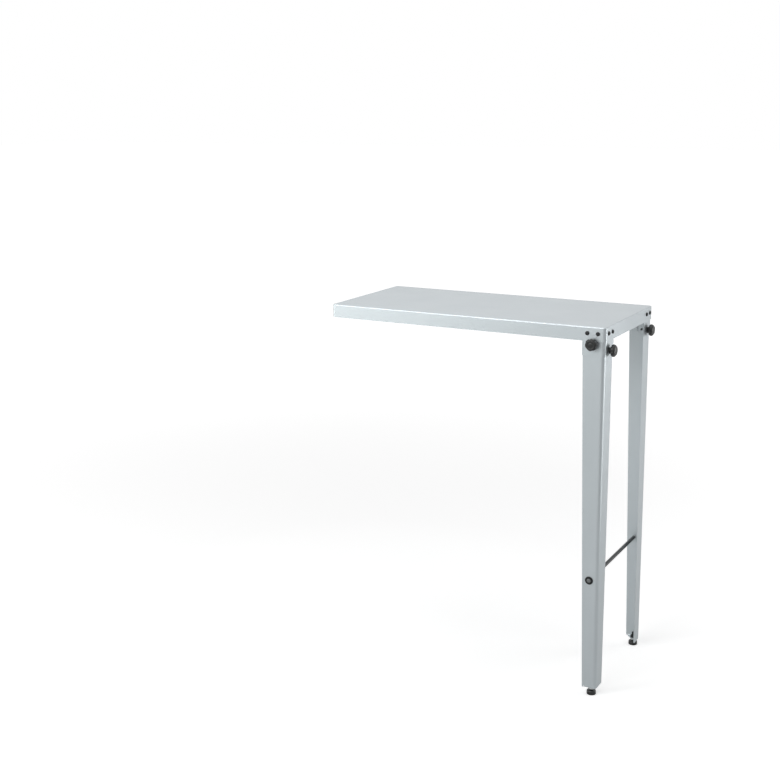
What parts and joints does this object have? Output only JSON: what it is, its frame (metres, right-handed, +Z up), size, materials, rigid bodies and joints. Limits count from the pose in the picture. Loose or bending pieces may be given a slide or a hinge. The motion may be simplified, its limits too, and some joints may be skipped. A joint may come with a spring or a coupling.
{
  "type": "outfeed table",
  "caption": "Sheet-steel outfeed table: a folded tray top that bolts to a machine at one end and stands on two tapered angle legs with clamp knobs and levelling feet at the other.",
  "frame": {"origin": "midway between the two machine bolts, on the outer face of the machine-side apron, 20 mm below the top surface and 980 mm above the floor", "axes": "+X along the table from the machine to the legs, +Y to the rear, +Z up"},
  "size_m": [0.8227, 0.4034, 1],
  "materials": {
    "powder_coat": "light blue-grey powder coat, satin with a fine texture",
    "underside_coat": "the same powder coat, thinner, on the hidden stiffener",
    "black_steel": "black oxide, slightly oily sheen",
    "zinc_steel": "bright zinc plating",
    "black_plastic": "black moulded plastic, fine matt grain"
  },
  "bodies": {
    "table": {"table_top": "powder_coat", "top_stiffener": "underside_coat", "corner_bracket_front": "powder_coat", "corner_bracket_rear": "powder_coat", "bracket_screws_front": "black_steel", "bracket_screws_rear": "black_steel", "bracket_nuts_front": "zinc_steel", "bracket_nuts_rear": "zinc_steel", "clamp_nut_front_side": "zinc_steel", "clamp_nut_front_end": "zinc_steel", "clamp_nut_rear_side": "zinc_steel", "clamp_nut_rear_end": "zinc_steel"},
    "leg_frame": {"leg_front": "powder_coat", "leg_rear": "powder_coat", "tie_rod": "black_steel", "tie_rod_washers": "black_steel", "tie_rod_screws": "black_steel", "foot_weld_nut_front": "black_steel", "foot_weld_nut_rear": "black_steel"},
    "clamp_washer_front_side": {"clamp_washer_front_side": "black_steel"},
    "clamp_knob_front_side": {"clamp_grip_front_side": "black_plastic", "clamp_stud_front_side": "black_steel"},
    "clamp_washer_rear_side": {"clamp_washer_rear_side": "black_steel"},
    "clamp_knob_rear_side": {"clamp_grip_rear_side": "black_plastic", "clamp_stud_rear_side": "black_steel"},
    "clamp_washer_front_end": {"clamp_washer_front_end": "black_steel"},
    "clamp_knob_front_end": {"clamp_grip_front_end": "black_plastic", "clamp_stud_front_end": "black_steel"},
    "clamp_washer_rear_end": {"clamp_washer_rear_end": "black_steel"},
    "clamp_knob_rear_end": {"clamp_grip_rear_end": "black_plastic", "clamp_stud_rear_end": "black_steel"},
    "foot_pad_front": {"foot_pad_front": "black_plastic"},
    "foot_stud_front": {"foot_stud_front": "black_steel", "foot_lock_nut_front": "zinc_steel"},
    "foot_pad_rear": {"foot_pad_rear": "black_plastic"},
    "foot_stud_rear": {"foot_stud_rear": "black_steel", "foot_lock_nut_rear": "zinc_steel"}
  },
  "joints": [
    {"name": "leg_height", "type": "slide", "parent": "table", "child": "leg_frame", "axis": [0, 0, 1], "range_m": [-0.005, 0.005]},
    {"name": "clamp_travel_front_side", "type": "slide", "parent": "table", "child": "clamp_washer_front_side", "axis": [0, -1, 0], "range_m": [0, 0.003]},
    {"name": "clamp_turn_front_side", "type": "hinge", "parent": "clamp_washer_front_side", "child": "clamp_knob_front_side", "pos_m": [0.7715, -0.1835, -0.024], "axis": [0, -1, 0], "range_deg": [0, 1080]},
    {"name": "clamp_travel_rear_side", "type": "slide", "parent": "table", "child": "clamp_washer_rear_side", "axis": [0, 1, 0], "range_m": [0, 0.003]},
    {"name": "clamp_turn_rear_side", "type": "hinge", "parent": "clamp_washer_rear_side", "child": "clamp_knob_rear_side", "pos_m": [0.7715, 0.1835, -0.024], "axis": [0, 1, 0], "range_deg": [0, 1080]},
    {"name": "clamp_travel_front_end", "type": "slide", "parent": "table", "child": "clamp_washer_front_end", "axis": [1, 0, 0], "range_m": [0, 0.003]},
    {"name": "clamp_turn_front_end", "type": "hinge", "parent": "clamp_washer_front_end", "child": "clamp_knob_front_end", "pos_m": [0.8045, -0.152, -0.0425], "axis": [1, 0, 0], "range_deg": [0, 1080]},
    {"name": "clamp_travel_rear_end", "type": "slide", "parent": "table", "child": "clamp_washer_rear_end", "axis": [1, 0, 0], "range_m": [0, 0.003]},
    {"name": "clamp_turn_rear_end", "type": "hinge", "parent": "clamp_washer_rear_end", "child": "clamp_knob_rear_end", "pos_m": [0.8045, 0.152, -0.0425], "axis": [1, 0, 0], "range_deg": [0, 1080]},
    {"name": "foot_travel_front", "type": "slide", "parent": "leg_frame", "child": "foot_pad_front", "axis": [0, 0, -1], "range_m": [0, 0.01]},
    {"name": "foot_turn_front", "type": "hinge", "parent": "foot_pad_front", "child": "foot_stud_front", "pos_m": [0.7875, -0.171, -0.98], "axis": [0, 0, -1], "range_deg": [0, 2880]},
    {"name": "foot_travel_rear", "type": "slide", "parent": "leg_frame", "child": "foot_pad_rear", "axis": [0, 0, -1], "range_m": [0, 0.01]},
    {"name": "foot_turn_rear", "type": "hinge", "parent": "foot_pad_rear", "child": "foot_stud_rear", "pos_m": [0.7875, 0.171, -0.98], "axis": [0, 0, -1], "range_deg": [0, 2880]}
  ],
  "couplings": [
    {"joint": "clamp_travel_front_side", "follows": "clamp_turn_front_side", "m_per_rad": 0.00015915},
    {"joint": "clamp_travel_rear_side", "follows": "clamp_turn_rear_side", "m_per_rad": 0.00015915},
    {"joint": "clamp_travel_front_end", "follows": "clamp_turn_front_end", "m_per_rad": 0.00015915},
    {"joint": "clamp_travel_rear_end", "follows": "clamp_turn_rear_end", "m_per_rad": 0.00015915},
    {"joint": "foot_travel_front", "follows": "foot_turn_front", "m_per_rad": 0.00019894},
    {"joint": "foot_travel_rear", "follows": "foot_turn_rear", "m_per_rad": 0.00019894}
  ]
}
